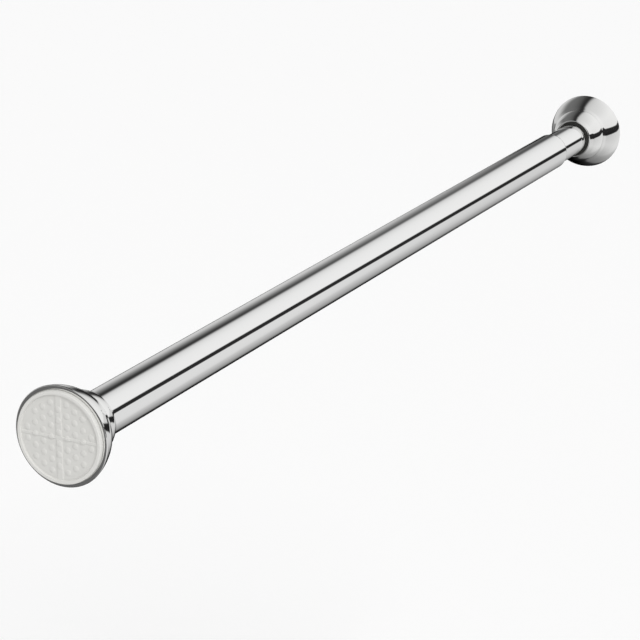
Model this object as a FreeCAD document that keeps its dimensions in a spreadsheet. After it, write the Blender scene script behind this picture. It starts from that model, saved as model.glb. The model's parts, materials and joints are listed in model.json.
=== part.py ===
import FreeCAD, Part

import math
import os
from types import SimpleNamespace

import Sketcher

# A telescopic spring tension rod, 25 mm outer tube over a 22 mm inner tube, 720 mm long as built here.
# X runs along the rod from the near wall to the far wall, with X = 0 on the near pad's face, and Z is up.
# The near bell, pad and carrier are fixed to the outer tube. The far set rides on the inner tube.
# Inside, a twist lock grips the outer tube and a compression spring pushes the inner tube out.

# Driving dimensions in millimetres, apart from the counts. Each is written once, here.
SIZES = {
    "overall_length": 720.0,  # pad face to pad face, as the rod lies in the photograph
    # Tubes
    "outer_dia": 25.0,
    "outer_wall": 0.5,
    "inner_bare": 40.9,  # length of inner tube that shows between the outer tube and the far bell
    "neck_length": 9.0,
    "neck_curve": 36.0,  # radius of the rounded shoulder where the tube end is spun in
    "neck_lip": 0.9,
    "neck_gap": 0.14,  # radial gap between the spun end and the inner tube
    "inner_dia": 22.0,
    "inner_wall": 0.5,
    # Stepped bell at each wall
    "rim_setback": 2.5,  # from the pad's face to the bell's rim
    "bell_wall": 0.7,
    "flange_dia": 53.2,
    "hem_lip": 2.1,  # radial width of the turned-in rim
    "step_depth": 14.0,  # from the rim to the step between the two tiers
    "step_rise": 1.7,  # radial height of the step
    "step_slope": 0.9,  # how far along the rod the step runs as it falls
    "shoulder_fall": 3.2,  # radial drop of the second tier, from the step to the face round the tube
    "mouth_depth": 27.6,  # from the rim to the face round the tube
    "mouth_face": 2.15,  # radial width of that face
    "mouth_slope": 1.15,  # how far along the rod the face runs as it falls
    "bead_width": 1.15,  # radial width of the rolled bead round the mouth
    "bead_height": 0.4,
    "bead_bevel": 0.3,
    "skirt_curve": 34.0,  # radius of the first tier's side
    "shoulder_curve": 33.0,  # radius of the second tier's side
    "step_bevel": 0.8,
    "mouth_bevel": 1.3,
    "rim_bevel": 0.35,
    "mouth_clearance": 0.1,
    # Wall pad
    "pad_gap": 0.4,  # radial gap between the pad and the bell's turned-in rim
    "pad_ring": 3.0,  # radial width of the raised ring
    "pad_relief": 0.9,  # depth of the field inside the ring
    "pad_upright_rib": 3.6,
    "pad_cross_rib": 1.8,
    "pad_bevel": 0.5,
    "pad_lip": 0.5,  # how far the pad's flange reaches behind the turned-in rim
    "pad_thickness": 4.4,
    "spigot_dia": 8.0,
    "spigot_barb": 0.7,
    "spigot_length": 6.2,
    # Plastic carrier between bell, pad and tube
    "disc_gap": 0.4,  # radial gap between the carrier's disc and the bell
    "carrier_disc": 4.0,
    "carrier_stem": 24.6,
    "carrier_stem_wall": 2.2,
    "socket_wall": 1.9,
    "socket_length": 6.6,
    "gusset_count": 8,
    "gusset_width": 1.6,
    "gusset_height": 5.0,
    "gusset_gap": 0.3,  # between the gussets and the bell
    "moulded_gap": 0.05,  # between a moulding and the metal that it is pressed into
    # Guide bush in the outer tube's mouth
    "bush_length": 28.0,
    "running_gap": 0.1,  # radial, between pieces that slide on each other
    # Twist lock
    "lock_setback": 8.5,  # from the near carrier's stem to the wedge
    "thread_dia": 8.0,
    "thread_pitch": 2.0,
    "thread_gap": 0.06,
    "wedge_base": 4.0,
    "wedge_base_dia": 22.4,
    "wedge_cone": 14.0,
    "wedge_big_dia": 19.2,
    "wedge_small_dia": 13.8,
    "wedge_key": 2.7,
    "wedge_key_length": 11.5,
    "finger_gap": 0.5,  # left between the wedge's base and the sleeve when the wedge is drawn right in
    "sleeve_length": 38.5,
    "sleeve_collar": 12.0,
    "sleeve_gap": 0.3,
    "slot_count": 4,
    "slot_width": 3.0,
    "slot_length": 24.5,
    "grip_grooves": 2,
    "grip_pitch": 6.0,
    "grip_width": 1.2,
    "grip_depth": 0.5,
    "drag_ring_width": 2.0,
    "drag_ring_height": 1.9,
    "drag_ring_bevel": 0.4,
    "drag_ring_gap": 0.05,
    # Spindle and its fittings
    "tip_setback": 1.0,  # from the wedge's front to the spindle's tip
    "tip_bevel": 0.8,
    "neck_bore_gap": 0.08,
    "clip_groove": 0.9,
    "clip_seat_dia": 6.4,
    "clip_thickness": 0.8,
    "clip_dia": 12.4,
    "clip_mouth": 5.0,
    "clip_gap": 0.05,
    "washer_dia": 15.0,
    "washer_thickness": 1.0,
    "collar_dia": 14.0,
    "collar_length": 3.0,
    "shank_flats": 8.6,
    "seat_dia": 18.4,
    "seat_thickness": 2.0,
    "seat_hub": 3.0,
    "seat_hub_dia": 12.6,
    "flats_gap": 0.1,
    # Compression spring
    "spring_dia": 15.8,  # mean diameter of the coils
    "spring_wire": 2.0,
    "spring_length": 70.0,
    "spring_turns": 6,  # open turns between the two closed end turns
    "closed_pitch": 2.1,  # from one wire to the next in the closed end turns
    "spring_gap": 0.1,  # between the spring's ends and their seats
    # Inner plug and slide ring
    "plug_flange": 3.0,
    "plug_flange_gap": 0.3,
    "plug_hub": 3.1,
    "plug_stem": 28.0,
    "plug_bore_gap": 0.2,
    "slide_ring_length": 8.0,
    "slide_ring_slit": 1.5,
    "rivet_count": 3,
    "rivet_dia": 3.0,
    "rivet_depth": 2.4,
    "rivet_place": 17.0,  # from the plug's flange to the rivets
    # Stop at the spindle's end
    "stud_dia": 6.0,
    "stud_length": 7.6,
    "stop_washer_dia": 15.0,
    "stop_washer": 1.2,
    "nut_flats": 10.0,
    "nut_height": 5.0,
    # Ring that closes the far bell's mouth round the inner tube
    "mouth_ring_setback": 0.3,
    "mouth_ring_length": 9.0,
    "mouth_ring_gap": 0.05,
}


class Size:
    """A length: its number now, and the spreadsheet expression that the document is bound to."""

    def __init__(self, text, number):
        self.text = text
        self.number = number

    def joined(self, sign, other, number):
        return Size(f"({self.text} {sign} {as_size(other).text})", number)

    def __add__(self, other):
        return self.joined("+", other, self.number + as_size(other).number)

    def __sub__(self, other):
        return self.joined("-", other, self.number - as_size(other).number)

    def __mul__(self, other):
        return self.joined("*", other, self.number * as_size(other).number)

    def __truediv__(self, other):
        return self.joined("/", other, self.number / as_size(other).number)

    def root(self):
        return Size(f"sqrt({self.text})", math.sqrt(self.number))


def as_size(value):
    return value if isinstance(value, Size) else Size(repr(value), value)


def negative(size):
    return as_size(0) - size


def arc_middle(start, end, radius):
    """The middle point of the arc that bulges left of the way from start to end."""
    along = end[0] - start[0]
    rise = end[1] - start[1]
    chord = (along * along + rise * rise).root()
    bulge = radius - (radius * radius - chord * chord / 4).root()
    return (start[0] + end[0]) / 2 - rise / chord * bulge, (start[1] + end[1]) / 2 + along / chord * bulge


doc = FreeCAD.newDocument("spring_tension_rod")
sheet = doc.addObject("Spreadsheet::Sheet", "dims")
for row, (alias, number) in enumerate(SIZES.items(), start=1):
    sheet.set(f"A{row}", alias)
    sheet.set(f"B{row}", str(number))
    sheet.setAlias(f"B{row}", alias)
doc.recompute()
d = SimpleNamespace(**{alias: Size(f"dims.{alias}", number) for alias, number in SIZES.items()})

# Radii and places that several pieces share
outer_r = d.outer_dia / 2
outer_bore_r = outer_r - d.outer_wall
inner_r = d.inner_dia / 2
inner_bore_r = inner_r - d.inner_wall
carrier_face = d.pad_thickness
tube_seat = carrier_face + d.carrier_disc
stem_end = tube_seat + d.carrier_stem
flange_r = d.flange_dia / 2
hem_r = flange_r - d.hem_lip
step_x = d.rim_setback + d.step_depth
mouth_x = d.rim_setback + d.mouth_depth
mouth_r = outer_r + d.mouth_clearance
mouth_top_r = mouth_r + d.bead_width + d.mouth_face
step_root_r = mouth_top_r + d.shoulder_fall
step_top_r = step_root_r + d.step_rise
rim = (d.rim_setback, flange_r)
step_top = (step_x, step_top_r)
skirt_middle = arc_middle(rim, step_top, d.skirt_curve)
tube_end = d.overall_length - mouth_x - d.inner_bare
wedge_x = stem_end + d.lock_setback
cone_x = wedge_x + d.wedge_base
sleeve_x = cone_x + d.thread_pitch + d.finger_gap
sleeve_end = sleeve_x + d.sleeve_length
collar_x = sleeve_end - d.sleeve_collar
sleeve_r = outer_bore_r - d.sleeve_gap
thread_r = d.thread_dia / 2
cavity_r = d.wedge_small_dia / 2 + d.running_gap
washer_x = sleeve_end + d.clip_gap
spindle_collar_x = washer_x + d.washer_thickness
shank_x = spindle_collar_x + d.collar_length
spring_x = shank_x + d.seat_thickness
plug_x = spring_x + d.spring_length
inner_tube_x = plug_x + d.plug_flange
plug_end = inner_tube_x + d.plug_stem
stop_x = plug_end + d.clip_gap
nut_x = stop_x + d.stop_washer
far_tube_end = d.overall_length - tube_seat

pieces = []


# Helpers: a body, its sketches and the features that shape it
def new_body(name):
    body = doc.addObject("PartDesign::Body", name)
    body.Label = name
    pieces.append(body)
    return body


def origin_feature(body, role):
    return next(item for item in body.Origin.OriginFeatures if item.Role == role)


def new_sketch(body, name, plane, offset=None):
    sketch = body.newObject("Sketcher::SketchObject", name)
    sketch.AttachmentSupport = [(origin_feature(body, plane), "")]
    sketch.MapMode = "FlatFace"
    if offset is not None:
        sketch.setExpression(".AttachmentOffset.Base.z", offset.text)
    return sketch


def arc_between(start, end, radius, side):
    """The short arc of that radius, bulging left (1) or right (-1) of the way from start to end."""
    chord = end - start
    normal = FreeCAD.Vector(-chord.y, chord.x, 0).normalize()
    rise = radius - math.sqrt(max(radius * radius - (chord.Length / 2) ** 2, 0))
    middle = (start + end) * 0.5 + normal * (rise * side)
    ends = (start, end) if side < 0 else (end, start)
    return Part.Arc(ends[0], middle, ends[1])


def hold_point(sketch, edge, point, values):
    """Ties a point's two coordinates to the spreadsheet, or to an axis where one is zero."""
    for kind, axis, value in (("DistanceX", -2, values[0]), ("DistanceY", -1, values[1])):
        if value.number == 0 and value.text == "0":
            sketch.addConstraint(Sketcher.Constraint("PointOnObject", edge, point, axis))
        else:
            rule = Sketcher.Constraint(kind, -1, 1, edge, point, value.number)
            sketch.setExpression(f"Constraints[{sketch.addConstraint(rule)}]", value.text)


def draw_outline(sketch, corners):
    """A closed outline through corners (x, y). Two more entries, a radius and a side, make the edge that
    leaves a corner an arc. An arc's own start is its clockwise end, so each edge keeps its point numbers."""
    corners = [[as_size(value) for value in corner[:3]] + list(corner[3:]) for corner in corners]
    places = [FreeCAD.Vector(corner[0].number, corner[1].number, 0) for corner in corners]
    ends = []
    for corner, start, end in zip(corners, places, places[1:] + places[:1]):
        if len(corner) == 2:
            edge = sketch.addGeometry(Part.LineSegment(start, end), False)
            ends.append((edge, 1, 2))
            continue
        edge = sketch.addGeometry(arc_between(start, end, corner[2].number, corner[3]), False)
        ends.append((edge, 1, 2) if corner[3] < 0 else (edge, 2, 1))
        rule = Sketcher.Constraint("Radius", edge, corner[2].number)
        sketch.setExpression(f"Constraints[{sketch.addConstraint(rule)}]", corner[2].text)
    for place, (edge, first, last) in enumerate(ends):
        before = ends[place - 1]
        sketch.addConstraint(Sketcher.Constraint("Coincident", before[0], before[2], edge, first))
        hold_point(sketch, edge, first, corners[place])


def turn(body, name, corners):
    """A solid of revolution about the rod's axis, from a section in the XZ plane."""
    sketch = new_sketch(body, name + "_section", "XZ_Plane")
    draw_outline(sketch, corners)
    turned = body.newObject("PartDesign::Revolution", name + "_turned")
    turned.Profile = sketch
    turned.ReferenceAxis = (sketch, ["H_Axis"])
    turned.Angle = 360
    sketch.Visibility = False
    doc.recompute()
    return turned


def along_rod(body, name, kind, corners, start, length):
    """A PartDesign Pad or Pocket along +X, from a section across the rod at X = start."""
    sketch = new_sketch(body, name + "_section", "YZ_Plane", start)
    draw_outline(sketch, corners)
    feature = body.newObject(f"PartDesign::{kind}", name)
    feature.Profile = sketch
    feature.Reversed = kind == "Pocket"
    feature.setExpression("Length", length.text)
    before = 0 if body.Shape.isNull() else body.Shape.Volume
    doc.recompute()
    if (body.Shape.Volume > before) != (kind == "Pad"):
        raise RuntimeError(f"{name} changed nothing")
    return feature


def repeat_round(body, name, feature, count):
    pattern = body.newObject("PartDesign::PolarPattern", name)
    pattern.Originals = [feature]
    pattern.Axis = (origin_feature(body, "X_Axis"), [""])
    pattern.Angle = 360
    pattern.setExpression("Occurrences", count.text)
    body.Tip = pattern
    doc.recompute()
    return pattern


def bevel_edge(body, name, place, size):
    """Chamfers the circular edge that lies at that place (x, r) about the rod's axis."""
    for number, edge in enumerate(body.Shape.Edges, start=1):
        curve = edge.Curve
        if not isinstance(curve, Part.Circle) or abs(curve.Radius - place[1].number) > 1e-4:
            continue
        if abs(curve.Center.x - place[0].number) < 1e-4:
            base = body.Tip
            bevel = body.newObject("PartDesign::Chamfer", name)
            bevel.Base = (base, [f"Edge{number}"])
            bevel.setExpression("Size", size.text)
            doc.recompute()
            return
    raise RuntimeError(f"{name} has no edge")


def box_section(low, high, width):
    """A rectangle across the rod, from radius low to radius high on the +Y side."""
    half = width / 2
    return [(low, negative(half)), (high, negative(half)), (high, half), (low, half)]


def rectangle(half_y, half_z):
    low_y = negative(half_y)
    low_z = negative(half_z)
    return [(low_y, low_z), (half_y, low_z), (half_y, half_z), (low_y, half_z)]


def hexagon(flats):
    corner = flats / as_size(3).root()
    half = flats / 2
    return [
        (corner, 0), (corner / 2, half), (negative(corner / 2), half),
        (negative(corner), 0), (negative(corner / 2), negative(half)), (corner / 2, negative(half)),
    ]


def to_far_end(body):
    """Turns a piece that is drawn for the near wall round to face the far wall."""
    body.Placement = FreeCAD.Placement(FreeCAD.Vector(), FreeCAD.Rotation(FreeCAD.Vector(0, 0, 1), 180))
    body.setExpression(".Placement.Base.x", d.overall_length.text)


# Tubes: the outer tube is one drawn tube with its far end spun in to a rounded neck
def outer_tube():
    neck_r = inner_r + d.neck_gap
    end = tube_end
    neck_x = end - d.neck_length
    lip_x = end - d.neck_lip
    turn(new_body("outer_tube"), "outer_tube", [
        (tube_seat, outer_bore_r),
        (tube_seat, outer_r),
        (neck_x, outer_r, d.neck_curve, 1),
        (lip_x, neck_r + d.outer_wall),
        (end, neck_r + d.outer_wall / 2),
        (end, neck_r),
        (lip_x, neck_r, d.neck_curve, -1),
        (neck_x, outer_bore_r),
    ])


def inner_tube():
    body = new_body("inner_tube")
    turn(body, "inner_tube", [
        (inner_tube_x, inner_bore_r),
        (inner_tube_x, inner_r),
        (far_tube_end, inner_r),
        (far_tube_end, inner_bore_r),
    ])
    rivet_holes(body, "inner_tube", inner_bore_r - d.rivet_depth, inner_r + d.running_gap)


# Bush that guides the inner tube, held in the outer tube behind its neck
def tube_end_bush():
    end = tube_end - d.neck_length - d.moulded_gap
    start = end - d.bush_length
    guide_r = inner_r + d.running_gap
    turn(new_body("tube_end_bush"), "tube_end_bush", [
        (start, guide_r),
        (start, outer_bore_r - d.moulded_gap),
        (end, outer_bore_r - d.moulded_gap),
        (end, guide_r),
    ])


# Stepped bell: one deep-drawn shell with a turned-in rim, two domed tiers and a beaded mouth
def bell(name):
    body = new_body(name)
    wall = d.bell_wall
    rim_x = d.rim_setback
    bead_r = mouth_r + d.bead_width
    bead_x = mouth_x + d.bead_height
    step_root = (step_x + d.step_slope, step_root_r)
    mouth_top = (mouth_x - d.mouth_slope, mouth_top_r)
    shoulder_middle = arc_middle(step_root, mouth_top, d.shoulder_curve)
    turn(body, name, [
        (rim_x, hem_r),
        (*rim, d.skirt_curve, 1),
        step_top,
        (*step_root, d.shoulder_curve, 1),
        mouth_top,
        (mouth_x, bead_r),
        (bead_x, bead_r - d.bead_bevel),
        (bead_x, mouth_r + d.bead_bevel),
        (mouth_x, mouth_r),
        (mouth_x - wall, mouth_r),
        (mouth_top[0] - wall, mouth_top_r - wall),
        (shoulder_middle[0] - wall, shoulder_middle[1] - wall),
        (step_root[0] - wall, step_root_r - wall),
        (step_x - wall, step_top_r - wall),
        (skirt_middle[0] - wall, skirt_middle[1] - wall),
        (rim_x + wall, flange_r - wall),
        (rim_x + wall, hem_r),
    ])
    bevel_edge(body, name + "_step_bevel", step_top, d.step_bevel)
    bevel_edge(body, name + "_mouth_bevel", mouth_top, d.mouth_bevel)
    bevel_edge(body, name + "_rim_bevel", rim, d.rim_bevel)
    return body


# Wall pad: one soft moulding with a raised ring, two crossing ribs and a barbed spigot behind
def wall_pad(name):
    body = new_body(name)
    pad_r = hem_r - d.pad_gap
    lip_r = hem_r + d.pad_lip
    ring_r = pad_r - d.pad_ring
    spigot_r = d.spigot_dia / 2
    barb_x = tube_seat + d.moulded_gap * 2
    spigot_end = d.pad_thickness + d.spigot_length
    flange_x = d.rim_setback + d.bell_wall + d.moulded_gap
    turn(body, name, [
        (d.pad_relief, 0),
        (d.pad_relief, ring_r),
        (d.pad_bevel, ring_r),
        (0, ring_r + d.pad_bevel),
        (0, pad_r - d.pad_bevel),
        (d.pad_bevel, pad_r),
        (flange_x, pad_r),
        (flange_x, lip_r),
        (d.pad_thickness, lip_r),
        (d.pad_thickness, spigot_r),
        (barb_x, spigot_r),
        (barb_x, spigot_r + d.spigot_barb),
        (spigot_end, spigot_r + d.spigot_barb),
        (spigot_end, 0),
    ])
    reach = ring_r + d.pad_bevel * 2
    upright = rectangle(d.pad_upright_rib / 2, reach)
    across = rectangle(reach, d.pad_cross_rib / 2)
    along_rod(body, name + "_upright_rib", "Pad", upright, as_size(0), d.pad_relief)
    along_rod(body, name + "_cross_rib", "Pad", across, as_size(0), d.pad_relief)
    return body


# Carrier: a moulded plug whose stem goes into the tube and whose disc backs the pad inside the bell
def carrier(name, tube_r, bore_r):
    body = new_body(name)
    stem_r = bore_r - d.moulded_gap
    stem_bore_r = stem_r - d.carrier_stem_wall
    socket_in = tube_r + d.moulded_gap
    socket_out = socket_in + d.socket_wall
    socket_end = tube_seat + d.socket_length
    hole_r = d.spigot_dia / 2 + d.moulded_gap
    disc_r = skirt_middle[1] - d.bell_wall - d.disc_gap
    turn(body, name, [
        (carrier_face, hole_r),
        (carrier_face, disc_r),
        (tube_seat, disc_r),
        (tube_seat, socket_out),
        (socket_end, socket_out),
        (socket_end, socket_in),
        (tube_seat, socket_in),
        (tube_seat, stem_r),
        (stem_end, stem_r),
        (stem_end, stem_bore_r),
        (tube_seat, stem_bore_r),
        (tube_seat, hole_r),
    ])
    reach = step_top_r - d.bell_wall - d.gusset_gap
    section = box_section(socket_out - d.moulded_gap, reach, d.gusset_width)
    gusset = along_rod(body, name + "_gusset", "Pad", section, tube_seat, d.gusset_height)
    repeat_round(body, name + "_gussets", gusset, d.gusset_count)
    return body


# Twist lock: a slit nylon sleeve that the keyed cone spreads against the outer tube's bore
def expander_sleeve():
    name = "expander_sleeve"
    body = new_body(name)
    slope = (d.wedge_big_dia - d.wedge_small_dia) / (d.wedge_cone * 2)
    mouth = d.wedge_big_dia / 2 + slope * (cone_x + d.thread_pitch - sleeve_x) + d.running_gap
    cone_end = cone_x + d.wedge_cone + d.thread_pitch
    ring_x = sleeve_end - d.sleeve_collar / 2
    ring_half = d.drag_ring_width / 2 + d.running_gap
    ring_seat = outer_bore_r - d.drag_ring_gap * 2 - d.drag_ring_height
    outline = [(sleeve_x, mouth), (sleeve_x, sleeve_r)]
    for groove in range(int(SIZES["grip_grooves"])):
        groove_x = sleeve_x + d.grip_pitch * (groove + 1)
        outline += [
            (groove_x, sleeve_r),
            (groove_x, sleeve_r - d.grip_depth),
            (groove_x + d.grip_width, sleeve_r - d.grip_depth),
            (groove_x + d.grip_width, sleeve_r),
        ]
    outline += [
        (ring_x - ring_half, sleeve_r),
        (ring_x - ring_half, ring_seat),
        (ring_x + ring_half, ring_seat),
        (ring_x + ring_half, sleeve_r),
        (sleeve_end, sleeve_r),
        (sleeve_end, thread_r + d.neck_bore_gap),
        (collar_x, thread_r + d.neck_bore_gap),
        (collar_x, cavity_r),
        (cone_end, cavity_r),
    ]
    turn(body, name, outline)
    section = box_section(cavity_r - d.running_gap * 5, outer_bore_r, d.slot_width)
    slot = along_rod(body, name + "_slot", "Pocket", section, sleeve_x, d.slot_length)
    repeat_round(body, name + "_slots", slot, d.slot_count)


def wedge_nut():
    name = "wedge_nut"
    body = new_body(name)
    bore_r = thread_r + d.thread_gap
    cone_end = cone_x + d.wedge_cone
    turn(body, name, [
        (wedge_x, bore_r),
        (wedge_x, d.wedge_base_dia / 2),
        (cone_x, d.wedge_base_dia / 2),
        (cone_x, d.wedge_big_dia / 2),
        (cone_end, d.wedge_small_dia / 2),
        (cone_end, bore_r),
    ])
    section = box_section(d.wedge_small_dia / 2 - d.running_gap * 5, d.wedge_base_dia / 2, d.wedge_key)
    key = along_rod(body, name + "_key", "Pad", section, cone_x, d.wedge_key_length)
    repeat_round(body, name + "_keys", key, d.slot_count)


def drag_ring():
    middle = sleeve_end - d.sleeve_collar / 2
    start = middle - d.drag_ring_width / 2
    end = middle + d.drag_ring_width / 2
    rub_r = outer_bore_r - d.drag_ring_gap
    turn(new_body("drag_ring"), "drag_ring", [
        (start, rub_r - d.drag_ring_height),
        (start, rub_r - d.drag_ring_bevel),
        (start + d.drag_ring_bevel, rub_r),
        (end - d.drag_ring_bevel, rub_r),
        (end, rub_r - d.drag_ring_bevel),
        (end, rub_r - d.drag_ring_height),
    ])


# Spindle: turned threaded end and collar, a hexagon shank that drives the plug, and a stud for the stop nut
def spindle():
    name = "spindle"
    body = new_body(name)
    tip_x = wedge_x + d.tip_setback
    groove_x = collar_x - d.clip_groove
    stud_r = d.stud_dia / 2
    stud_end = stop_x + d.stud_length
    turn(body, name, [
        (tip_x, 0),
        (tip_x, thread_r - d.tip_bevel),
        (tip_x + d.tip_bevel, thread_r),
        (groove_x, thread_r),
        (groove_x, d.clip_seat_dia / 2),
        (collar_x, d.clip_seat_dia / 2),
        (collar_x, thread_r),
        (spindle_collar_x, thread_r),
        (spindle_collar_x, d.collar_dia / 2),
        (shank_x, d.collar_dia / 2),
        (shank_x, stud_r),
        (stud_end - d.tip_bevel, stud_r),
        (stud_end, stud_r - d.tip_bevel),
        (stud_end, 0),
    ])
    along_rod(body, name + "_shank", "Pad", hexagon(d.shank_flats), shank_x, stop_x - shank_x)


def thrust_washer():
    end = washer_x + d.washer_thickness - d.clip_gap
    turn(new_body("thrust_washer"), "thrust_washer", [
        (washer_x, thread_r + d.running_gap),
        (washer_x, d.washer_dia / 2),
        (end, d.washer_dia / 2),
        (end, thread_r + d.running_gap),
    ])


def retaining_clip():
    name = "retaining_clip"
    body = new_body(name)
    clip_x = collar_x - d.clip_gap - d.clip_thickness
    seat_r = d.clip_seat_dia / 2 + d.clip_gap
    turn(body, name, [
        (clip_x, seat_r),
        (clip_x, d.clip_dia / 2),
        (clip_x + d.clip_thickness, d.clip_dia / 2),
        (clip_x + d.clip_thickness, seat_r),
    ])
    section = box_section(as_size(0), d.clip_dia, d.clip_mouth)
    along_rod(body, name + "_mouth", "Pocket", section, clip_x, d.clip_thickness)


def spring_seat():
    name = "spring_seat"
    body = new_body(name)
    hub_x = spring_x + d.seat_hub
    turn(body, name, [
        (shank_x, 0),
        (shank_x, d.seat_dia / 2),
        (spring_x, d.seat_dia / 2),
        (spring_x, d.seat_hub_dia / 2),
        (hub_x, d.seat_hub_dia / 2),
        (hub_x, 0),
    ])
    hole = hexagon(d.shank_flats + d.flats_gap * 2)
    along_rod(body, name + "_hole", "Pocket", hole, shank_x, d.seat_thickness + d.seat_hub)


# Compression spring: open turns between two closed turns, one against the seat and one against the plug
def compression_spring():
    name = "compression_spring"
    body = new_body(name)
    wire_r = d.spring_wire / 2
    start = spring_x + d.spring_gap + wire_r
    end = plug_x - d.spring_gap - wire_r
    open_pitch = (end - start - d.closed_pitch * 2) / d.spring_turns
    stretches = [
        ("first_turn", start, d.closed_pitch, as_size(1)),
        ("open_turns", start + d.closed_pitch, open_pitch, d.spring_turns),
        ("last_turn", end - d.closed_pitch, d.closed_pitch, as_size(1)),
    ]
    for part, begin, pitch, turns in stretches:
        sketch = new_sketch(body, f"{name}_{part}_section", "XZ_Plane")
        draw_outline(sketch, wire_section(begin, d.spring_dia / 2, wire_r))
        coil = body.newObject("PartDesign::AdditiveHelix", f"{name}_{part}")
        coil.Profile = sketch
        coil.ReferenceAxis = (sketch, ["H_Axis"])
        coil.Mode = "pitch-turns-angle"
        coil.setExpression("Pitch", pitch.text)
        coil.setExpression("Turns", turns.text)
        doc.recompute()


def wire_section(x, y, wire_r):
    """The round wire's section with six flats, two of them square to the rod, each at the wire's radius."""
    half_flat = wire_r / as_size(3).root()
    far_corner = half_flat * 2
    return [
        (x + wire_r, y - half_flat), (x + wire_r, y + half_flat), (x, y + far_corner),
        (x - wire_r, y + half_flat), (x - wire_r, y - half_flat), (x, y - far_corner),
    ]


# Inner plug: fixed in the inner tube's end, driven by the hexagon shank and free to slide along it
def inner_plug():
    name = "inner_plug"
    body = new_body(name)
    hub_x = plug_x - d.plug_hub
    stem_r = inner_bore_r - d.moulded_gap
    turn(body, name, [
        (hub_x, 0),
        (hub_x, d.seat_hub_dia / 2),
        (plug_x, d.seat_hub_dia / 2),
        (plug_x, outer_bore_r - d.plug_flange_gap),
        (inner_tube_x, outer_bore_r - d.plug_flange_gap),
        (inner_tube_x, stem_r),
        (plug_end, stem_r),
        (plug_end, 0),
    ])
    hole = hexagon(d.shank_flats + d.plug_bore_gap * 2)
    along_rod(body, name + "_hole", "Pocket", hole, hub_x, plug_end - hub_x)
    rivet_holes(body, name, inner_bore_r - d.rivet_depth, inner_r + d.running_gap)


def rivet_holes(body, name, low, high):
    """Radial holes for the rivets, from radius low out to radius high, repeated round the rod."""
    sketch = new_sketch(body, name + "_rivet_section", "XY_Plane", low)
    draw_circle(sketch, inner_tube_x + d.rivet_place, as_size(0), d.rivet_dia / 2 + d.moulded_gap)
    hole = body.newObject("PartDesign::Pocket", name + "_rivet_hole")
    hole.Profile = sketch
    hole.Reversed = True
    hole.setExpression("Length", (high - low).text)
    doc.recompute()
    repeat_round(body, name + "_rivet_holes", hole, d.rivet_count)


def draw_circle(sketch, x, y, radius):
    centre = FreeCAD.Vector(x.number, y.number, 0)
    sketch.addGeometry(Part.Circle(centre, FreeCAD.Vector(0, 0, 1), radius.number), False)
    hold_point(sketch, 0, 3, (x, y))
    rule = Sketcher.Constraint("Radius", 0, radius.number)
    sketch.setExpression(f"Constraints[{sketch.addConstraint(rule)}]", radius.text)


def plug_rivets():
    """Three like rivets, flush with the inner tube, that pin it to the plug."""
    rivets = []
    for number in range(int(SIZES["rivet_count"])):
        rivet = doc.addObject("Part::Cylinder", f"rivet_{number + 1}")
        low = inner_bore_r - d.rivet_depth + d.moulded_gap
        rivet.setExpression("Radius", (d.rivet_dia / 2).text)
        rivet.setExpression("Height", (inner_r - d.moulded_gap - low).text)
        angle = 360 * number / SIZES["rivet_count"]
        turned = FreeCAD.Rotation(FreeCAD.Vector(1, 0, 0), angle)
        rivet.Placement = FreeCAD.Placement(FreeCAD.Vector(), turned)
        rivet.setExpression(".Placement.Base.x", (inner_tube_x + d.rivet_place).text)
        rivet.setExpression(".Placement.Base.y", (low * -math.sin(math.radians(angle))).text)
        rivet.setExpression(".Placement.Base.z", (low * math.cos(math.radians(angle))).text)
        rivets.append(rivet)
    group = doc.addObject("Part::Compound", "plug_rivets")
    group.Label = "plug_rivets"
    group.Links = rivets
    pieces.append(group)


def slide_ring():
    name = "slide_ring"
    body = new_body(name)
    end = inner_tube_x + d.slide_ring_length
    turn(body, name, [
        (inner_tube_x, inner_r + d.moulded_gap),
        (inner_tube_x, outer_bore_r - d.running_gap),
        (end, outer_bore_r - d.running_gap),
        (end, inner_r + d.moulded_gap),
    ])
    section = box_section(as_size(0), d.outer_dia, d.slide_ring_slit)
    along_rod(body, name + "_slit", "Pocket", section, inner_tube_x, d.slide_ring_length)


# Stop: a washer and nut on the spindle's stud hold the plug against the spring
def stop_washer():
    hole_r = d.stud_dia / 2 + d.running_gap
    turn(new_body("stop_washer"), "stop_washer", [
        (stop_x, hole_r),
        (stop_x, d.stop_washer_dia / 2),
        (nut_x, d.stop_washer_dia / 2),
        (nut_x, hole_r),
    ])


def stop_nut():
    name = "stop_nut"
    body = new_body(name)
    along_rod(body, name + "_block", "Pad", hexagon(d.nut_flats), nut_x, d.nut_height)
    hole = new_sketch(body, name + "_hole_section", "YZ_Plane", nut_x)
    draw_circle(hole, as_size(0), as_size(0), d.stud_dia / 2 + d.thread_gap)
    drilled = body.newObject("PartDesign::Pocket", name + "_hole")
    drilled.Profile = hole
    drilled.Reversed = True
    drilled.setExpression("Length", d.nut_height.text)
    doc.recompute()


# Ring that centres the inner tube in the far bell's mouth
def mouth_ring():
    name = "far_mouth_ring"
    end = mouth_x - d.mouth_ring_setback
    start = end - d.mouth_ring_length
    body = new_body(name)
    turn(body, name, [
        (start, inner_r + d.mouth_ring_gap),
        (start, outer_r),
        (end, outer_r),
        (end, inner_r + d.mouth_ring_gap),
    ])
    return body


outer_tube()
tube_end_bush()
bell("near_bell")
carrier("near_carrier", outer_r, outer_bore_r)
wall_pad("near_pad")
expander_sleeve()
drag_ring()
wedge_nut()
spindle()
thrust_washer()
retaining_clip()
spring_seat()
compression_spring()
inner_tube()
inner_plug()
plug_rivets()
slide_ring()
stop_washer()
stop_nut()
to_far_end(bell("far_bell"))
to_far_end(carrier("far_carrier", inner_r, inner_bore_r))
to_far_end(wall_pad("far_pad"))
to_far_end(mouth_ring())
doc.recompute()

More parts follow.
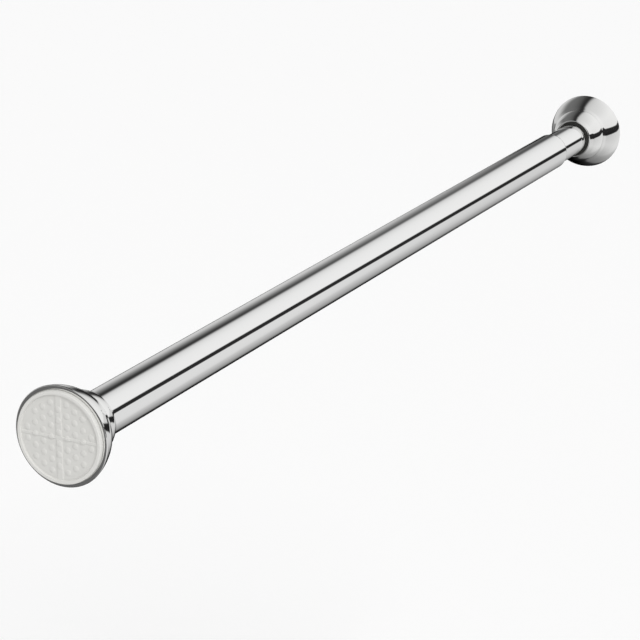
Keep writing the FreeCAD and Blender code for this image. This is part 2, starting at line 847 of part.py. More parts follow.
failed = [item.Name for item in doc.Objects if {"Invalid", "Error"} & set(item.State)]
if failed:
    raise RuntimeError(f"failed objects: {failed}")
for piece in pieces:
    if piece.Shape.isNull() or not piece.Shape.isValid():
        raise RuntimeError(f"{piece.Label} has no valid shape")
os.makedirs("parts", exist_ok=True)
for piece in pieces:
    piece.Shape.exportStep(f"parts/{piece.Label}.step")
    print(piece.Label, len(piece.Shape.Solids), round(piece.Shape.Volume, 2))
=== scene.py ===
import json
import math

import bpy
import numpy as np
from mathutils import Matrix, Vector


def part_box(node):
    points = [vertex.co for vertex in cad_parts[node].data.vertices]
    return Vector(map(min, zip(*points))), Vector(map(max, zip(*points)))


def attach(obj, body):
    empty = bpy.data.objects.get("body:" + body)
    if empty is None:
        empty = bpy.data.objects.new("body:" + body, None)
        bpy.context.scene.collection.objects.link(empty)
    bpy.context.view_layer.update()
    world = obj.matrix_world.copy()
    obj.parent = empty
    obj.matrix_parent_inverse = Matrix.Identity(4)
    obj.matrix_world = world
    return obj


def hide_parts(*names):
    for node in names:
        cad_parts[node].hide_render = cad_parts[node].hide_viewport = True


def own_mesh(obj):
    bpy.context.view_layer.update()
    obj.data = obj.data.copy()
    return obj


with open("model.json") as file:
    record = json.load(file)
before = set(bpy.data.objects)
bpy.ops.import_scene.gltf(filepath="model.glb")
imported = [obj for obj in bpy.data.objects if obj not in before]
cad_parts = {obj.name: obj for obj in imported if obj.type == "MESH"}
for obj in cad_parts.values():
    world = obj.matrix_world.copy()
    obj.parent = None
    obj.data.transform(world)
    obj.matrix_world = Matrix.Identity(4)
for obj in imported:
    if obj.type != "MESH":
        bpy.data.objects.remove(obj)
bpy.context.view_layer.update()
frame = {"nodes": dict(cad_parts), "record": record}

# The view. The rod is seen from in front of the near wall pad, above it and to its left, by a long
# lens. Places are in metres, in the rod's own frame: X runs along the rod and Z is up.
EYE = (-0.9231, -0.6128, 0.4190)
HEADING = math.radians(26.95)
DIP = math.radians(18.03)
PICTURE_PIXELS = 640
FOCAL_PIXELS = 2408
SENSOR_MM = 36
lens = bpy.data.cameras.new("photo_camera")
lens.sensor_width = SENSOR_MM
lens.lens = SENSOR_MM * FOCAL_PIXELS / PICTURE_PIXELS
lens.clip_start = 0.05
lens.clip_end = 60
camera = bpy.data.objects.new("photo_camera", lens)
camera.location = EYE
camera.rotation_euler = (math.pi / 2 - DIP, 0, HEADING - math.pi / 2)
bpy.context.scene.collection.objects.link(camera)
bpy.context.scene.camera = camera


# Outer tube: 25 mm steel tube, drawn, polished and plated, with its far end spun in to a rounded neck
# that hides the bush. It is pressed over the near carrier's stem inside the near bell.
MM = 0.001
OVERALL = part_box("far_pad")[1].x
OUTER_R = 12.5
OUTER_WALL = 0.5
INNER_R = 11.0
NECK_LENGTH = 3.6
NECK_CURVE = 4.7
NECK_LIP = 0.9
NECK_GAP = 0.14
FINE_SIDES = 224
SHARP_ANGLE = math.radians(28)
MARK_SPREAD = 0.3  # how far the roughness wanders with the marks, as a share of itself
ON_RIGHT = 1
ON_LEFT = -1


def arc(start, end, radius, side, count=12):
    """Points of the short arc from start to end, start left out. The centre lies on the chord's
    perpendicular bisector, on the right or the left of the way there."""
    start = np.array(start, float)
    end = np.array(end, float)
    chord = end - start
    length = np.hypot(*chord)
    left = np.array([-chord[1], chord[0]]) / length
    drop = math.sqrt(max(radius ** 2 - length ** 2 / 4, 0))
    centre = (start + end) / 2 - side * left * drop
    first = math.atan2(*(start - centre)[::-1])
    last = math.atan2(*(end - centre)[::-1])
    sweep = (last - first + math.pi) % (2 * math.pi) - math.pi
    angles = first + sweep * np.arange(1, count + 1) / count
    return [tuple(centre + radius * np.array([math.cos(a), math.sin(a)])) for a in angles]


def closed_grid_faces(rows, columns):
    """Quads of a grid whose rows and columns both run round in a loop, as corner numbers."""
    row, column = np.meshgrid(np.arange(rows), np.arange(columns), indexing="ij")
    next_row = (row + 1) % rows
    next_column = (column + 1) % columns
    corners = [row * columns + column, next_row * columns + column,
               next_row * columns + next_column, row * columns + next_column]
    return np.stack(corners, axis=-1).reshape(-1, 4)


def new_piece(name, points, faces, material, body, slot, *replaced):
    mesh = bpy.data.meshes.new(name)
    mesh.from_pydata(points, [], faces)
    mesh.validate()
    mesh.shade_smooth()
    mesh.set_sharp_from_angle(angle=SHARP_ANGLE)
    piece = bpy.data.objects.new(name, mesh)
    piece.data.materials.append(material)
    bpy.context.scene.collection.objects.link(piece)
    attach(piece, body)
    if replaced:
        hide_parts(*replaced)
    return piece


def turned_points(profile):
    """Every profile point (x, r) in millimetres, swung round the rod: (x, r sin a, r cos a), in
    metres."""
    profile = np.array(profile, float) * MM
    angles = np.arange(FINE_SIDES) * 2 * math.pi / FINE_SIDES
    x = np.repeat(profile[:, 0], FINE_SIDES)
    y = np.outer(profile[:, 1], np.sin(angles)).ravel()
    z = np.outer(profile[:, 1], np.cos(angles)).ravel()
    return np.column_stack([x, y, z])


def facing_far_wall(points):
    """Half a turn about the upright through the rod's middle: (x, y, z) goes to
    (length - x, -y, z)."""
    return points * (-1, -1, 1) + (OVERALL, 0, 0)


def turned_ring(name, profile, material, body, slot, replaced, far_end=False):
    """A ring-shaped solid: a closed profile (x, r) that starts at its low x and runs outwards first,
    carried round the rod's axis."""
    points = turned_points(profile)
    if far_end:
        points = facing_far_wall(points)
    faces = closed_grid_faces(len(profile), FINE_SIDES)
    return new_piece(name, points.tolist(), faces.tolist(), material, body, slot, replaced)


def steel(name, colour, roughness, grain, depth):
    """Steel with fine marks: a noise of the place, stretched by grain, that shifts the roughness and
    raises the surface by depth in metres."""
    material = bpy.data.materials.new(name)
    material.use_nodes = True
    tree = material.node_tree
    shader = tree.nodes["Principled BSDF"]
    shader.inputs["Metallic"].default_value = 1.0
    shader.inputs["Base Color"].default_value = (*colour, 1)
    place = tree.nodes.new("ShaderNodeTexCoord")
    stretch = tree.nodes.new("ShaderNodeMapping")
    stretch.inputs["Scale"].default_value = grain
    marks = tree.nodes.new("ShaderNodeTexNoise")
    marks.inputs["Scale"].default_value = 1.0
    marks.inputs["Detail"].default_value = 3.0
    polish = tree.nodes.new("ShaderNodeMapRange")
    polish.inputs["To Min"].default_value = roughness * (1 - MARK_SPREAD)
    polish.inputs["To Max"].default_value = roughness * (1 + MARK_SPREAD)
    bump = tree.nodes.new("ShaderNodeBump")
    bump.inputs["Strength"].default_value = 1.0
    bump.inputs["Distance"].default_value = depth
    tree.links.new(place.outputs["Object"], stretch.inputs["Vector"])
    tree.links.new(stretch.outputs["Vector"], marks.inputs["Vector"])
    tree.links.new(marks.outputs["Fac"], polish.inputs["Value"])
    tree.links.new(polish.outputs["Result"], shader.inputs["Roughness"])
    tree.links.new(marks.outputs["Fac"], bump.inputs["Height"])
    tree.links.new(bump.outputs["Normal"], shader.inputs["Normal"])
    return material


tube_start, tube_end = (corner.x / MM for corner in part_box("outer_tube"))
outer_bore = OUTER_R - OUTER_WALL
neck_bore = INNER_R + NECK_GAP
lip_x = tube_end - NECK_LIP
neck_x = tube_end - NECK_LENGTH
tube_profile = [(tube_start, outer_bore), (tube_start, OUTER_R), (neck_x, OUTER_R)]
tube_profile += arc(tube_profile[-1], (lip_x, neck_bore + OUTER_WALL), NECK_CURVE, ON_RIGHT)
tube_profile += arc(tube_profile[-1], (tube_end, neck_bore + OUTER_WALL / 4), NECK_LIP, ON_RIGHT,
                    count=8)
tube_profile += [(tube_end, neck_bore), (lip_x, neck_bore)]
tube_profile += arc(tube_profile[-1], (neck_x, outer_bore), NECK_CURVE, ON_LEFT, count=6)
tube_steel = steel("tube_steel", colour=(0.87, 0.87, 0.865), roughness=0.055,
                   grain=(1600, 40, 40), depth=8e-7)
turned_ring("outer_tube_fine", tube_profile, tube_steel, "outer", "tube_steel", "outer_tube")


# Inner tube: the same steel, 22 mm over a 0.5 mm wall, riveted to the plug at its hidden end and
# pressed over the far carrier's stem at the other.
INNER_WALL = 0.5
inner_start, inner_end = (corner.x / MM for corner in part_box("inner_tube"))
inner_bore = INNER_R - INNER_WALL
inner_profile = [(inner_start, inner_bore), (inner_start, INNER_R), (inner_end, INNER_R),
                 (inner_end, inner_bore)]
turned_ring("inner_tube_fine", inner_profile, tube_steel, "inner", "tube_steel", "inner_tube")


# Bells: one deep-drawn steel shell at each wall, polished and plated. Two domed tiers meet at a step,
# the rim is turned in over the pad, and the mouth round the tube ends in a rolled bead.
BELL_WALL = 0.7
RIM_X = 2.5
RIM_R = 26.6
RIM_ROUND = 0.5
HEM_LIP = 2.1
SKIRT_CURVE = 34.0
STEP_X = RIM_X + 14.0
STEP_RISE = 1.7
STEP_SLOPE = 1.3
STEP_ROUND = 4.0
STEP_FILLET = 0.8
SHOULDER_FALL = 3.2
SHOULDER_CURVE = 33.0
MOUTH_X = RIM_X + 27.6
MOUTH_R = OUTER_R + 0.1
MOUTH_FACE = 2.15
MOUTH_SLOPE = 2.0
MOUTH_ROUND = 3.0
BEAD_WIDTH = 1.15
BEAD_CURVE = 0.72


def arc_centre(start, end, radius):
    """The centre of an arc that bulges away from the rod's axis between two points (x, r)."""
    start = np.array(start)
    end = np.array(end)
    chord = end - start
    length = np.hypot(*chord)
    inward = np.array([chord[1], -chord[0]]) / length
    return (start + end) / 2 + inward * math.sqrt(radius ** 2 - length ** 2 / 4)


def dome_to_wall(centre, radius, corner, lean, size):
    """Rounds the corner between a domed side and a straight wall that falls at the angle lean through
    the corner (x, r). The small circle lies inside both. Gives its touching points on the dome and
    the wall."""
    down = np.array([math.cos(lean), -math.sin(lean)])
    out = np.array([math.sin(lean), math.cos(lean)])
    offset = (np.array(corner) - out * size) - centre
    reach = radius - size
    back = -offset @ down
    half_chord = math.sqrt(back ** 2 - offset @ offset + reach ** 2)
    slide = back - half_chord
    if slide < -radius / 2:
        slide = back + half_chord
    middle = centre + offset + down * slide
    return tuple(centre + (middle - centre) / reach * radius), tuple(middle + out * size)


def wall_to_dome(centre, radius, corner, lean, size):
    """The like for the inner corner where the wall meets the next dome: the circle lies outside
    both."""
    down = np.array([math.cos(lean), -math.sin(lean)])
    out = np.array([math.sin(lean), math.cos(lean)])
    offset = (np.array(corner) + out * size) - centre
    reach = radius + size
    back = -offset @ down
    half_chord = math.sqrt(back ** 2 - offset @ offset + reach ** 2)
    slide = back + half_chord
    if abs(slide) > radius / 2:
        slide = back - half_chord
    middle = centre + offset + down * slide
    return tuple(middle - out * size), tuple(centre + (middle - centre) / reach * radius)


mouth_top = MOUTH_R + BEAD_WIDTH + MOUTH_FACE
step_root = mouth_top + SHOULDER_FALL
step_top = step_root + STEP_RISE
step_foot = STEP_X + STEP_SLOPE
step_lean = math.atan2(STEP_RISE, STEP_SLOPE)
mouth_lean = math.atan2(MOUTH_FACE, MOUTH_SLOPE)
face_foot = (MOUTH_X, MOUTH_R + BEAD_WIDTH)
face_top = (MOUTH_X - MOUTH_SLOPE, mouth_top)
skirt = arc_centre((RIM_X, RIM_R), (STEP_X, step_top), SKIRT_CURVE)
shoulder = arc_centre((step_foot, step_root), face_top, SHOULDER_CURVE)
step_on_skirt, step_on_wall = dome_to_wall(
    skirt, SKIRT_CURVE, (STEP_X, step_top), step_lean, STEP_ROUND)
root_on_wall, root_on_dome = wall_to_dome(
    shoulder, SHOULDER_CURVE, (step_foot, step_root), step_lean, STEP_FILLET)
mouth_on_dome, mouth_on_wall = dome_to_wall(
    shoulder, SHOULDER_CURVE, face_top, mouth_lean, MOUTH_ROUND)
rim_x = RIM_X + RIM_ROUND
rim_reach = SKIRT_CURVE - RIM_ROUND
rim_r = skirt[1] + math.sqrt(rim_reach ** 2 - (rim_x - skirt[0]) ** 2)
rim_out = (np.array([rim_x, rim_r]) - skirt) / rim_reach
rim_on_skirt = tuple(skirt + rim_out * SKIRT_CURVE)

bell_profile = [(RIM_X, RIM_R - HEM_LIP), (RIM_X, rim_r)]
bell_profile += arc(bell_profile[-1], rim_on_skirt, RIM_ROUND, ON_RIGHT, count=8)
bell_profile += arc(bell_profile[-1], step_on_skirt, SKIRT_CURVE, ON_RIGHT, count=24)
bell_profile += arc(bell_profile[-1], step_on_wall, STEP_ROUND, ON_RIGHT, count=10)
bell_profile += [root_on_wall]
bell_profile += arc(bell_profile[-1], root_on_dome, STEP_FILLET, ON_LEFT, count=8)
bell_profile += arc(bell_profile[-1], mouth_on_dome, SHOULDER_CURVE, ON_RIGHT, count=24)
bell_profile += arc(bell_profile[-1], mouth_on_wall, MOUTH_ROUND, ON_RIGHT)
bell_profile += [face_foot]
bell_profile += arc(bell_profile[-1], (MOUTH_X, MOUTH_R), BEAD_CURVE, ON_RIGHT, count=10)
bell_profile += [(MOUTH_X - BELL_WALL, MOUTH_R), (face_top[0] - BELL_WALL, mouth_top - BELL_WALL)]
bell_profile += arc(bell_profile[-1], (step_foot - BELL_WALL, step_root - BELL_WALL),
                    SHOULDER_CURVE, ON_LEFT, count=8)
bell_profile += [(STEP_X - BELL_WALL, step_top - BELL_WALL)]
bell_profile += arc(bell_profile[-1], (RIM_X + BELL_WALL, RIM_R - BELL_WALL),
                    SKIRT_CURVE, ON_LEFT, count=8)
bell_profile += [(RIM_X + BELL_WALL, RIM_R - HEM_LIP)]
bell_steel = steel("bell_steel", colour=(0.87, 0.87, 0.86), roughness=0.06,
                   grain=(2500, 40, 40), depth=3e-7)
turned_ring("near_bell_fine", bell_profile, bell_steel, "outer", "bell_chrome", "near_bell")
turned_ring("far_bell_fine", bell_profile, bell_steel, "inner", "bell_chrome", "far_bell",
            far_end=True)


# Wall pads: one soft moulding in each bell, pushed home by a barbed spigot in the carrier. Its face
# has a raised ring, an upright and a cross rib, and staggered round dots that grip the wall.
PAD_R = RIM_R - HEM_LIP - 0.4
PAD_RELIEF = 0.9
PAD_EDGE = 0.5
PAD_FLANGE_X = 3.25
PAD_FLANGE_R = 25.0
PAD_BACK_X = 4.4
RING_WIDTH = 2.2
RING_SLOPE = 0.45
# The ring's colour is a painted highlight, a lighter copy of the field's rubber, not a different
# rubber.
RING_PAINTED_HIGHLIGHT = (0.69, 0.685, 0.66)
RING_HIGHLIGHT_FROM = 0.2
RING_HIGHLIGHT_TO = 0.5
SPIGOT_R = 4.0
SPIGOT_BARB = 0.7
BARB_X = 8.5
SPIGOT_END = 10.6
UPRIGHT_IN = 1.5
UPRIGHT_OUT = 1.8
CROSS_IN = 0.55
CROSS_OUT = 0.85
RIB_HEIGHT = 0.32
DOT_R = 1.65
DOT_HEIGHT = 0.36
DOT_ACROSS = 4.6
DOT_DOWN = 5.9
DOT_FIELD_R = 19.4
DOT_SINK = 0.05  # how far the dots on a rib stay below the ring
PAD_SIDES = 432
PAD_ROWS = 120
ring_in = PAD_R - RING_WIDTH


def step_up(value, low, high):
    """A smooth step from 0 below low to 1 above high: t * t * (3 - 2 t)."""
    share = np.clip((value - low) / (high - low), 0, 1)
    return share * share * (3 - 2 * share)


def pad_height(y, z):
    """Height of the pad's face over its sunk field: the raised ring with its rounded edge, or the
    ribs with the dots over them, each dot a low half ellipsoid."""
    r = np.hypot(y, z)
    ring = step_up(r, ring_in, ring_in + RING_SLOPE) * PAD_RELIEF
    edge = np.clip((r - (PAD_R - PAD_EDGE)) / PAD_EDGE, 0, 1)
    ring = ring - PAD_EDGE * (1 - np.sqrt(1 - edge ** 2))
    upright = 1 - step_up(np.abs(y), UPRIGHT_IN, UPRIGHT_OUT)
    cross = 1 - step_up(np.abs(z), CROSS_IN, CROSS_OUT)
    ribs = np.maximum(upright, cross) * RIB_HEIGHT * (r < ring_in + RING_SLOPE)
    column = np.round(y / DOT_ACROSS)
    stagger = np.where(column % 2 == 0, 0.5, 0.0)
    row = np.round(z / DOT_DOWN - stagger) + stagger
    dot_r = np.hypot(column * DOT_ACROSS, row * DOT_DOWN)
    off = np.hypot(y - column * DOT_ACROSS, z - row * DOT_DOWN) / DOT_R
    dots = np.sqrt(np.clip(1 - off ** 2, 0, 1)) * DOT_HEIGHT * (dot_r < DOT_FIELD_R)
    return np.maximum(ring, np.minimum(ribs + dots, PAD_RELIEF - DOT_SINK))


def wall_pad(name, material, body, replaced, far_end=False):
    """Rings of points from the face's centre, over its edge and down to the spigot's end, closed by a
    fan of triangles at each end."""
    face_r = PAD_R * np.arange(1, PAD_ROWS + 1) / PAD_ROWS
    back = np.array([(PAD_FLANGE_X, PAD_R), (PAD_FLANGE_X, PAD_FLANGE_R), (PAD_BACK_X, PAD_FLANGE_R),
                     (PAD_BACK_X, SPIGOT_R), (BARB_X, SPIGOT_R), (BARB_X, SPIGOT_R + SPIGOT_BARB),
                     (SPIGOT_END, SPIGOT_R)])
    radii = np.concatenate([face_r, back[:, 1]])
    angles = np.arange(PAD_SIDES) * 2 * math.pi / PAD_SIDES
    y = np.outer(radii, np.sin(angles))
    z = np.outer(radii, np.cos(angles))
    x = PAD_RELIEF - pad_height(y, z)
    x[PAD_ROWS:] = back[:, :1]
    rings = np.column_stack([x.ravel(), y.ravel(), z.ravel()])
    face_middle = [PAD_RELIEF - pad_height(np.zeros(1), np.zeros(1))[0], 0, 0]
    points = np.vstack([rings, [face_middle], [[SPIGOT_END, 0, 0]]]) * MM
    if far_end:
        points = facing_far_wall(points)
    side = np.arange(PAD_SIDES)
    after = (side + 1) % PAD_SIDES
    last = (len(radii) - 1) * PAD_SIDES
    front_pole = np.full(PAD_SIDES, len(rings))
    back_pole = front_pole + 1
    faces = closed_grid_faces(len(radii), PAD_SIDES)[:last].tolist()
    faces += np.column_stack([front_pole, side, after]).tolist()
    faces += np.column_stack([back_pole, last + after, last + side]).tolist()
    return new_piece(name, points.tolist(), faces, material, body, "pad_rubber", replaced)


GRAINS_TO_A_CLOUD = 12
POLISH_SPREAD = 0.07
MIX_SHARE, MIX_FIRST, MIX_SECOND, MIX_RESULT = 0, 6, 7, 2  # a Mix node's sockets for colours


def moulding(name, colour, roughness, grain, depth, mottle=0.04):
    """A moulded surface: its colour and roughness wander a little, and a fine grain raises it by
    depth in metres."""
    material = bpy.data.materials.new(name)
    material.use_nodes = True
    tree = material.node_tree
    shader = tree.nodes["Principled BSDF"]
    place = tree.nodes.new("ShaderNodeTexCoord")
    cloud = tree.nodes.new("ShaderNodeTexNoise")
    cloud.inputs["Scale"].default_value = grain / GRAINS_TO_A_CLOUD
    cloud.inputs["Detail"].default_value = 2.0
    skin = tree.nodes.new("ShaderNodeTexNoise")
    skin.inputs["Scale"].default_value = grain
    skin.inputs["Detail"].default_value = 3.0
    tint = tree.nodes.new("ShaderNodeMix")
    tint.data_type = "RGBA"
    tint.inputs[MIX_FIRST].default_value = (*(value * (1 - mottle) for value in colour), 1)
    tint.inputs[MIX_SECOND].default_value = (*(value * (1 + mottle) for value in colour), 1)
    polish = tree.nodes.new("ShaderNodeMapRange")
    polish.inputs["To Min"].default_value = roughness - POLISH_SPREAD
    polish.inputs["To Max"].default_value = roughness + POLISH_SPREAD
    bump = tree.nodes.new("ShaderNodeBump")
    bump.inputs["Strength"].default_value = 1.0
    bump.inputs["Distance"].default_value = depth
    for texture in (cloud, skin):
        tree.links.new(place.outputs["Object"], texture.inputs["Vector"])
    tree.links.new(cloud.outputs["Fac"], tint.inputs[MIX_SHARE])
    tree.links.new(tint.outputs[MIX_RESULT], shader.inputs["Base Color"])
    tree.links.new(skin.outputs["Fac"], polish.inputs["Value"])
    tree.links.new(polish.outputs["Result"], shader.inputs["Roughness"])
    tree.links.new(skin.outputs["Fac"], bump.inputs["Height"])
    tree.links.new(bump.outputs["Normal"], shader.inputs["Normal"])
    return material


# The rubber is one grey, and the raised ring gets a painted highlight: it is painted a lighter grey
# of the same rubber, and the colour changes with the distance from the pad's middle.
pad_rubber = moulding("pad_rubber", colour=(0.66, 0.655, 0.63), roughness=0.6, grain=1600,
                      depth=8e-6, mottle=0.02)
pad_tree = pad_rubber.node_tree
pad_shader = pad_tree.nodes["Principled BSDF"]
field_colour = pad_shader.inputs["Base Color"].links[0].from_socket
pad_place = pad_tree.nodes.new("ShaderNodeTexCoord")
flat = pad_tree.nodes.new("ShaderNodeVectorMath")
flat.operation = "MULTIPLY"
flat.inputs[1].default_value = (0, 1, 1)
from_middle = pad_tree.nodes.new("ShaderNodeVectorMath")
from_middle.operation = "LENGTH"
# Painted highlight: from just inside the ring's inner edge outwards, the rubber is painted lighter.
ring_highlight_share = pad_tree.nodes.new("ShaderNodeMapRange")
ring_highlight_share.inputs["From Min"].default_value = (ring_in + RING_HIGHLIGHT_FROM) * MM
ring_highlight_share.inputs["From Max"].default_value = (ring_in + RING_HIGHLIGHT_TO) * MM
ring_painted_highlight = pad_tree.nodes.new("ShaderNodeMix")
ring_painted_highlight.data_type = "RGBA"
ring_painted_highlight.inputs[MIX_SECOND].default_value = (*RING_PAINTED_HIGHLIGHT, 1)
pad_tree.links.new(pad_place.outputs["Object"], flat.inputs[0])
pad_tree.links.new(flat.outputs["Vector"], from_middle.inputs[0])
pad_tree.links.new(from_middle.outputs["Value"], ring_highlight_share.inputs["Value"])
pad_tree.links.new(ring_highlight_share.outputs["Result"], ring_painted_highlight.inputs[MIX_SHARE])
pad_tree.links.new(field_colour, ring_painted_highlight.inputs[MIX_FIRST])
pad_tree.links.new(ring_painted_highlight.outputs[MIX_RESULT], pad_shader.inputs["Base Color"])
wall_pad("near_pad_fine", pad_rubber, "outer", "near_pad")
wall_pad("far_pad_fine", pad_rubber, "inner", "far_pad", far_end=True)


# Compression spring: hard-drawn wire, wound with a closed turn at each end. It sits between the seat
# on the spindle and the plug in the inner tube, and shortens as the far end is pushed in.
WIRE_R = 1.0
COIL_R = 7.9
CLOSED_PITCH = 2.1
OPEN_TURNS = 6
TURN_STEPS = 64
WIRE_SIDES = 16


def coil():
    """A wire's surface: the coil's middle line is (x(t), -R sin t, R cos t), where x climbs slowly in
    the end turns and evenly between, eased over half a turn. A circle is carried along it, square to
    the line and upright from the rod's axis."""
    turns = OPEN_TURNS + 2
    turn = np.linspace(0, turns, turns * TURN_STEPS + 1)
    ends = [first_x, first_x + CLOSED_PITCH, last_x - CLOSED_PITCH, last_x]
    x = np.interp(turn, [0, 1, turns - 1, turns], ends)
    window = TURN_STEPS // 2 + 1
    padded = np.pad(x, window // 2, mode="reflect", reflect_type="odd")
    x = np.convolve(padded, np.ones(window) / window, mode="valid")
    way = turn * 2 * math.pi
    middle = np.column_stack([x, -COIL_R * np.sin(way), COIL_R * np.cos(way)])
    heading = np.gradient(middle, axis=0)
    outward = np.column_stack([np.zeros(len(way)), -np.sin(way), np.cos(way)])
    sideways = np.cross(outward, heading)
    sideways /= np.linalg.norm(sideways, axis=1)[:, None]
    rounds = (np.arange(WIRE_SIDES) * 2 * math.pi / WIRE_SIDES)[None, :, None]
    circle = np.cos(rounds) * outward[:, None] + np.sin(rounds) * sideways[:, None]
    points = (middle[:, None] + WIRE_R * circle).reshape(-1, 3) * MM
    skin = (len(way) - 1) * WIRE_SIDES
    faces = closed_grid_faces(len(way), WIRE_SIDES)[:skin].tolist()
    last = len(points) - 1
    faces += [list(range(WIRE_SIDES)), list(range(last, last - WIRE_SIDES, -1))]
    return points.tolist(), faces


spring_low, spring_high = (corner.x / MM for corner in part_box("compression_spring"))
first_x = spring_low + WIRE_R
last_x = spring_high - WIRE_R
spring_steel = steel("spring_steel", colour=(0.36, 0.36, 0.37), roughness=0.3,
                     grain=(300, 300, 300), depth=3e-6)
spring = new_piece("compression_spring_fine", *coil(), spring_steel, "spindle", "spring_steel",
                   "compression_spring")
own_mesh(spring)


# The other pieces are turned, cast or moulded as the model has them, and only get their finish here:
# dark and natural nylon, black rubber, die-cast zinc and zinc-plated steel.
finishes = {
    "dark_nylon": moulding("dark_nylon", colour=(0.025, 0.025, 0.022), roughness=0.45, grain=900,
                           depth=1.2e-5),
    "white_nylon": moulding("white_nylon", colour=(0.78, 0.77, 0.72), roughness=0.42, grain=900,
                            depth=8e-6),
    "black_rubber": moulding("black_rubber", colour=(0.03, 0.03, 0.03), roughness=0.65, grain=1400,
                             depth=1e-5),
    "cone_zinc": steel("cone_zinc", colour=(0.56, 0.57, 0.58), roughness=0.42,
                       grain=(700, 700, 700), depth=1.2e-5),
    "plated_steel": steel("plated_steel", colour=(0.72, 0.72, 0.69), roughness=0.24,
                          grain=(1800, 90, 90), depth=3e-6),
}
for subpart in frame["record"]["subparts"]:
    finish = finishes.get(subpart["material_slot"])
    if finish:
        node = frame["nodes"][subpart["node"]]
        node.data.materials.clear()
        node.data.materials.append(finish)


# The studio: a plain pale floor well below the rod, in soft light from all round. Its walls are long
# light panels that run along the rod, with a dark seam between the upper and the lower ones. Only
# the polished metal shows them: the camera sees plain white, and the rest gets even white light.
FLOOR_Z = -0.6
FLOOR_SIZE = 40.0
FLOOR_WHITE = (1, 1, 1, 1)
half = FLOOR_SIZE / 2
floor_corners = [(-half, -half, FLOOR_Z), (half, -half, FLOOR_Z), (half, half, FLOOR_Z),
                 (-half, half, FLOOR_Z)]
floor_mesh = bpy.data.meshes.new("floor")
floor_mesh.from_pydata(floor_corners, [], [(0, 1, 2, 3)])
floor = bpy.data.objects.new("floor", floor_mesh)
bpy.context.scene.collection.objects.link(floor)
floor.visible_glossy = False
floor_paint = bpy.data.materials.new("floor_paint")
floor_paint.use_nodes = True
floor_shader = floor_paint.node_tree.nodes["Principled BSDF"]
floor_shader.inputs["Base Color"].default_value = FLOOR_WHITE
floor_shader.inputs["Roughness"].default_value = 1.0
floor.data.materials.append(floor_paint)

KEY_STRENGTH = 1.7
KEY_ANGLE = math.radians(24)
KEY_FROM = (-0.4, -0.6, 0.69)
key = bpy.data.lights.new("key", "SUN")
key.energy = KEY_STRENGTH
key.angle = KEY_ANGLE
key_lamp = bpy.data.objects.new("key", key)
key_lamp.rotation_euler = Vector(KEY_FROM).to_track_quat("Z", "Y").to_euler()
key_lamp.visible_glossy = False
bpy.context.scene.collection.objects.link(key_lamp)

# The panels' brightness against the direction's Y, from -1 to 1. The upper ones are bright up to a
# dark gap beside the middle, and the lower ones fade to dark there.
UPPER_PANELS = [(-1.0, 0.86), (-0.3, 0.93), (0.0, 0.8), (0.11, 0.52), (0.17, 0.14), (0.23, 0.035),
                (0.3, 0.045), (0.42, 0.11), (0.6, 0.16), (1.0, 0.16)]
LOWER_PANELS = [(-1.0, 0.62), (-0.8, 0.74), (-0.48, 0.8), (-0.32, 0.61), (-0.18, 0.48),
                (0.0, 0.33), (0.07, 0.2), (0.14, 0.05), (0.22, 0.02), (1.0, 0.03)]
EVEN_LIGHT = 0.6
# Smooth steps in the light. Each says from where to where along X, Y or Z it runs, and then its value
# below and above where these aren't 0 and 1.
AHEAD_X = (0.84, 0.93)
AHEAD_Y = (0.05, 0.34, 0.7, 0.04)
AHEAD_Z = (-0.5, -0.28)
AHEAD_SHIFT = -0.1
OVERHEAD_Z = (0.55, 1.0, 1.0, 0.8)
UNDERNEATH_Z = (-0.95, -0.5, 0.5, 1.0)
BEHIND_X = (-0.6, 0.0, 0.14, 0.0)
FAR_SIDE_Y = (0.55, 0.75, 0.0, 0.26)
LOW_GLOW = 0.64
LOW_GLOW_Y = (-0.05, 0.12)
LOW_GLOW_Z = (0.1, 0.55, 1.0, 0.0)
LOW_GLOW_END_Y = (0.42, 0.58, 1.0, 0.0)
PARTING_Y = (-0.05, 0.2)
PARTING_Z = (-0.03, 0.03)
PARTING_FALL = -0.15
SEAM_BOW = 0.6
SEAM_BEND = -1.18
SEAM_LEVEL = 0.03
SEAM_DIP = -1.2
SEAM_DIP_X = 0.8
SEAM_WIDTH = 0.17
SEAM_TAPER = -0.1
SEAM_EDGE = (-0.02, 0.02, 0.025, 1.0)
SEAM_END_X = (0.86, 0.94)
SEAM_END_Y = (0.02, 0.16)
SEAM_END_SHIFT = -0.5
world = bpy.data.worlds.new("light_panels")
world.use_nodes = True
bpy.context.scene.world = world
studio = world.node_tree
light_place = studio.nodes.new("ShaderNodeTexCoord")
axes = studio.nodes.new("ShaderNodeSeparateXYZ")
studio.links.new(light_place.outputs["Generated"], axes.inputs["Vector"])
along, across, up = axes.outputs


def reckon(operation, *terms):
    """The named operation on sockets or numbers, as one node of the light."""
    node = studio.nodes.new("ShaderNodeMath")
    node.operation = operation
    for socket, term in zip(node.inputs, terms):
        if isinstance(term, (int, float)):
            socket.default_value = term
        else:
            studio.links.new(term, socket)
    return node.outputs["Value"]


def times(first, second):
    """first * second."""
    return reckon("MULTIPLY", first, second)


def less(first, second):
    """first - second."""
    return reckon("SUBTRACT", first, second)


def greater(first, second):
    """The greater of the two."""
    return reckon("MAXIMUM", first, second)


def added(share, amount, base):
    """base + share * amount."""
    return reckon("MULTIPLY_ADD", share, amount, base)


def between(share, low, high):
    """The mix low + share * (high - low)."""
    return added(share, less(high, low), low)


def ease(value, low, high, start=0.0, end=1.0):
    """A smooth step: start below low, end above high."""
    node = studio.nodes.new("ShaderNodeMapRange")
    node.interpolation_type = "SMOOTHSTEP"
    studio.links.new(value, node.inputs["Value"])
    for name, number in (("From Min", low), ("From Max", high), ("To Min", start), ("To Max", end)):
        node.inputs[name].default_value = number
    return node.outputs["Result"]


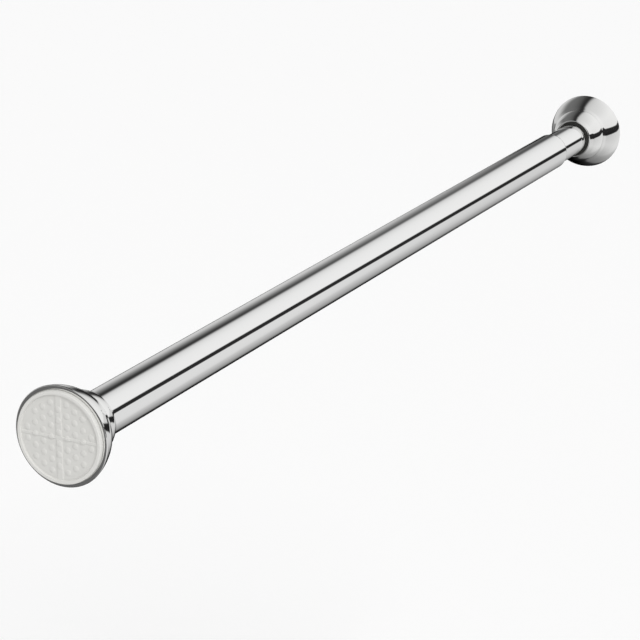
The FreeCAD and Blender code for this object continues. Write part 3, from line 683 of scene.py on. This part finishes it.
def panel_row(stops, sideways):
    """A row of panels: brightness against the direction's Y, eased from stop to stop."""
    node = studio.nodes.new("ShaderNodeFloatCurve")
    curve = node.mapping.curves[0]
    curve.points[0].location = ((stops[0][0] + 1) / 2, stops[0][1])
    curve.points[1].location = ((stops[-1][0] + 1) / 2, stops[-1][1])
    for y, brightness in stops[1:-1]:
        curve.points.new((y + 1) / 2, brightness)
    node.mapping.update()
    studio.links.new(added(sideways, 0.5, 0.5), node.inputs["Value"])
    return node.outputs["Value"]


# The upper panels, with a glow low down on the +Y side that ends before the far wall.
forward = greater(along, 0.0)
ahead = ease(along, *AHEAD_X)
shifted = added(ahead, AHEAD_SHIFT, across)
glow = times(ease(up, *LOW_GLOW_Z), ease(across, *LOW_GLOW_Y))
glow_end = times(ahead, ease(across, *LOW_GLOW_END_Y))
upper = times(panel_row(UPPER_PANELS, shifted), ease(up, *OVERHEAD_Z))
upper = between(times(glow, less(1.0, glow_end)), upper, LOW_GLOW)

# The lower panels, with their own light ahead, behind the near wall and far out on the +Y side.
lower = times(panel_row(LOWER_PANELS, across), ease(up, *UNDERNEATH_Z))
lower = between(times(ease(up, *AHEAD_Z), ahead), lower, ease(across, *AHEAD_Y))
lower = greater(lower, ease(along, *BEHIND_X))
lower = greater(lower, ease(across, *FAR_SIDE_Y))
parting = times(times(forward, PARTING_FALL), ease(across, *PARTING_Y))
panels = between(ease(less(up, parting), *PARTING_Z), lower, upper)

# The seam bows up to each side, dips ahead and narrows forwards. It ends a little past the middle,
# but runs on round the far end of the rod.
aside = reckon("ABSOLUTE", across)
bow = times(aside, added(aside, SEAM_BEND, 1.0))
seam_z = greater(times(bow, SEAM_BOW), times(aside, SEAM_LEVEL))
seam_z = added(greater(less(along, SEAM_DIP_X), 0.0), SEAM_DIP, seam_z)
seam_half = added(forward, SEAM_TAPER, SEAM_WIDTH)
off_seam = less(reckon("ABSOLUTE", less(up, seam_z)), seam_half)
seam_y = added(ease(along, *SEAM_END_X), SEAM_END_SHIFT, shifted)
seam_light = greater(ease(off_seam, *SEAM_EDGE), ease(seam_y, *SEAM_END_Y))
panels = times(panels, seam_light)

rays = studio.nodes.new("ShaderNodeLightPath")
light = between(rays.outputs["Is Glossy Ray"], EVEN_LIGHT, panels)
light = greater(light, rays.outputs["Is Camera Ray"])
studio.links.new(light, studio.nodes["Background"].inputs["Color"])

bpy.context.scene.view_settings.view_transform = "Standard"
